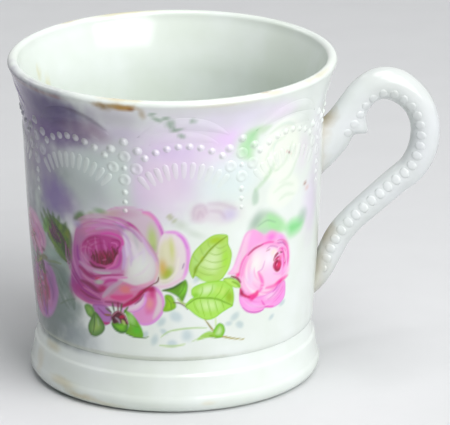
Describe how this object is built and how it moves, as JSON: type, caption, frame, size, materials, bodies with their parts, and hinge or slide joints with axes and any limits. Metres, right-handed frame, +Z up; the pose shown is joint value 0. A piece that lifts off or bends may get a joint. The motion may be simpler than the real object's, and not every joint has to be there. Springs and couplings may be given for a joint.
{
  "type": "mustache cup",
  "caption": "Porcelain mustache cup with a flared lip, an inner ledge with a drinking slot, a beaded ear handle and a hollow foot.",
  "frame": {"origin": "centre of the base, on the cup's axis, on the plane that the foot stands on", "axes": "+Z up along the cup's axis, +X from the axis to the handle, -Y to the drinking side, where the ledge is"},
  "size_m": [0.1185, 0.09, 0.09],
  "materials": {
    "cup_body": "transparent gloss glaze on white porcelain, with a wash of lilac and a rose transfer",
    "foot": "transparent gloss glaze on white porcelain, slightly stained",
    "mustache_guard": "transparent gloss glaze on white porcelain",
    "handle": "transparent gloss glaze on white porcelain, stained brown at its joints",
    "handle_beads": "transparent gloss glaze",
    "upper_arch_ribs": "transparent gloss glaze over a lilac wash",
    "lower_arch_ribs": "transparent gloss glaze over a lilac wash",
    "arch_beads": "transparent gloss glaze over a lilac wash",
    "peak_beads": "transparent gloss glaze",
    "peak_rosettes": "transparent gloss glaze",
    "pendant_beads": "transparent gloss glaze",
    "shell_flutes": "transparent gloss glaze over a faint wash"
  },
  "bodies": {
    "root": {"cup_body": "cup_body", "foot": "foot", "mustache_guard": "mustache_guard", "handle": "handle", "handle_beads": "handle_beads", "upper_arch_ribs": "upper_arch_ribs", "lower_arch_ribs": "lower_arch_ribs", "arch_beads": "arch_beads", "peak_beads": "peak_beads", "peak_rosettes": "peak_rosettes", "pendant_beads": "pendant_beads", "shell_flutes": "shell_flutes"}
  },
  "joints": []
}
